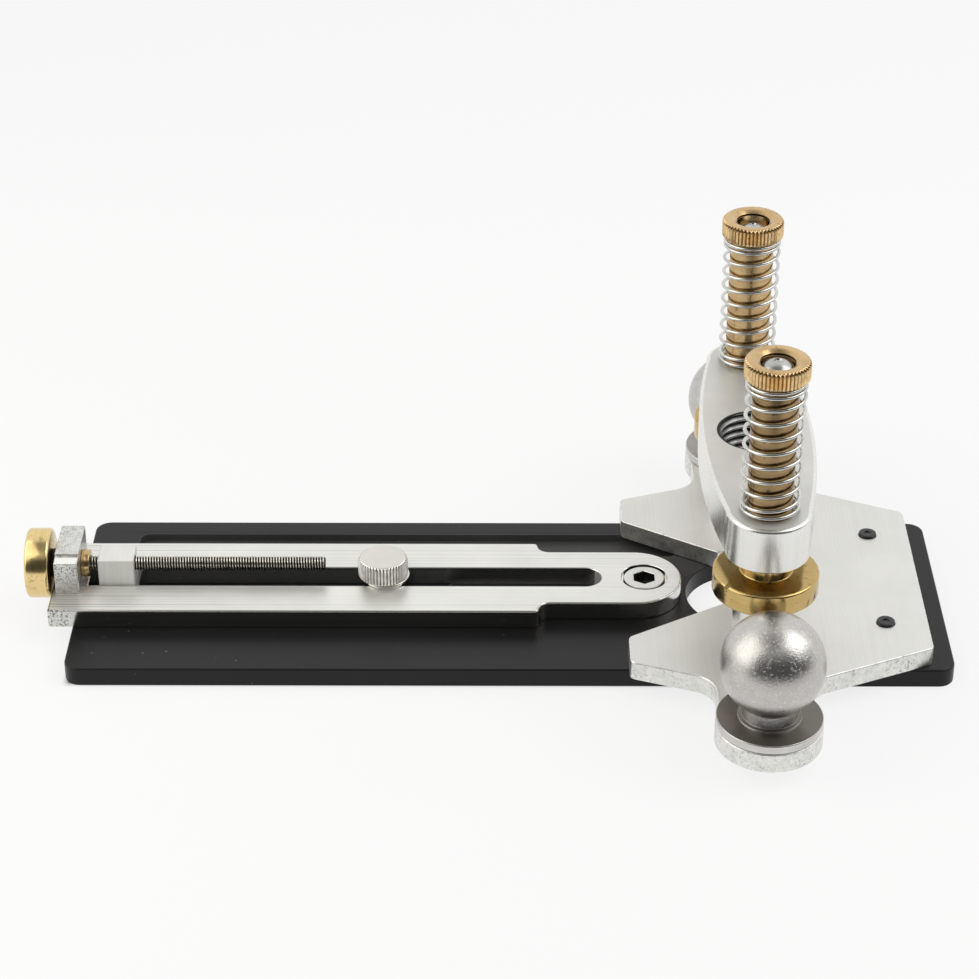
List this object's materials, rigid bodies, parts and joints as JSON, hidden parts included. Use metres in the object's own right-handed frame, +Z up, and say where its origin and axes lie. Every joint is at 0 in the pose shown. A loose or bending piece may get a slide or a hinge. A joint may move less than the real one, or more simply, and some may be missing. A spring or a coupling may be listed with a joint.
{
  "type": "router circle cutting jig",
  "caption": "Circle cutting base for a small rotary tool: slotted pivot arm with screw fine adjuster on a black sole, sprung tool carriage on threaded columns, ball handles.",
  "frame": {"origin": "bit axis at the underside of the sole plate", "axes": "+X along the pivot arm towards the tool, +Y away from the front handle, +Z up along the bit axis"},
  "size_m": [0.2324, 0.1526, 0.0933],
  "materials": {
    "black_sole": "satin black sheet",
    "plate_aluminium": "brushed across the arm",
    "sawn_aluminium": "matt sawn and bead blasted",
    "brushed_aluminium": "brushed along the arm",
    "carriage_aluminium": "soft satin",
    "turned_brass": "turned, slightly tarnished",
    "knob_brass": "brushed",
    "cap_brass": "knurled",
    "spring_steel": "bright drawn wire",
    "stud_steel": "turned",
    "screw_steel": "plain zinc",
    "satin_steel": "bead blasted satin",
    "nickel": "nickel plated",
    "black_screw": "black oxide",
    "black_washer": "black nylon"
  },
  "bodies": {
    "base": {"base_plate": "black_sole", "router_plate": "plate_aluminium", "plate_screws": "black_screw", "front_pedestal": "sawn_aluminium", "back_pedestal": "sawn_aluminium", "front_stud": "stud_steel", "back_stud": "stud_steel", "front_handle": "satin_steel", "back_handle": "satin_steel", "handle_screws": "screw_steel", "nut_block": "sawn_aluminium", "nut_block_screw": "screw_steel", "lock_insert": "turned_brass"},
    "arm": {"slide_arm": "brushed_aluminium", "end_bracket": "sawn_aluminium", "bracket_screws": "screw_steel", "pivot_bush": "stud_steel", "pivot_nut": "screw_steel"},
    "adjuster": {"lead_screw": "screw_steel", "adjust_knob": "knob_brass", "knob_set_screw": "black_screw", "knob_washer": "black_washer", "thrust_collar": "turned_brass"},
    "lock_washer_body": {"lock_washer": "nickel"},
    "lock": {"lock_screw": "nickel"},
    "springs": {"front_spring": "spring_steel", "back_spring": "spring_steel"},
    "front_column": {"front_sleeve": "turned_brass", "front_cap": "cap_brass"},
    "back_column": {"back_sleeve": "turned_brass", "back_cap": "cap_brass"},
    "carriage_body": {"carriage": "carriage_aluminium"}
  },
  "joints": [
    {"name": "arm_slide", "type": "slide", "parent": "base", "child": "arm", "axis": [1, 0, 0], "range_m": [-0.045, 0.002]},
    {"name": "screw_turn", "type": "hinge", "parent": "arm", "child": "adjuster", "pos_m": [-0.18, 0, 0.014], "axis": [1, 0, 0], "range_deg": [-23143.5, 1029]},
    {"name": "lock_rise", "type": "slide", "parent": "base", "child": "lock_washer_body", "axis": [0, 0, 1], "range_m": [0, 0.0008]},
    {"name": "lock_turn", "type": "hinge", "parent": "lock_washer_body", "child": "lock", "pos_m": [-0.0935, 0, 0.013], "axis": [0, 0, 1], "range_deg": [0, 360.5]},
    {"name": "depth_lift", "type": "slide", "parent": "base", "child": "springs", "axis": [0, 0, 1], "range_m": [0, 0.015]},
    {"name": "front_wheel_turn", "type": "hinge", "parent": "springs", "child": "front_column", "pos_m": [0, -0.0373, 0.0337], "axis": [0, 0, 1], "range_deg": [0, 4320.5]},
    {"name": "back_wheel_turn", "type": "hinge", "parent": "springs", "child": "back_column", "pos_m": [0, 0.0373, 0.0337], "axis": [0, 0, 1], "range_deg": [0, 4320.5]},
    {"name": "carriage_lift", "type": "slide", "parent": "springs", "child": "carriage_body", "axis": [0, 0, 1], "range_m": [0, 0.012], "stiffness_N_per_m": 900, "springref_m": -0.008, "deforming": ["front_spring", "back_spring"]}
  ],
  "couplings": [
    {"joint": "screw_turn", "follows": "arm_slide", "rad_per_m": 8976},
    {"joint": "lock_turn", "follows": "lock_rise", "rad_per_m": 7854},
    {"joint": "front_wheel_turn", "follows": "depth_lift", "rad_per_m": 5026.5},
    {"joint": "back_wheel_turn", "follows": "depth_lift", "rad_per_m": 5026.5}
  ]
}
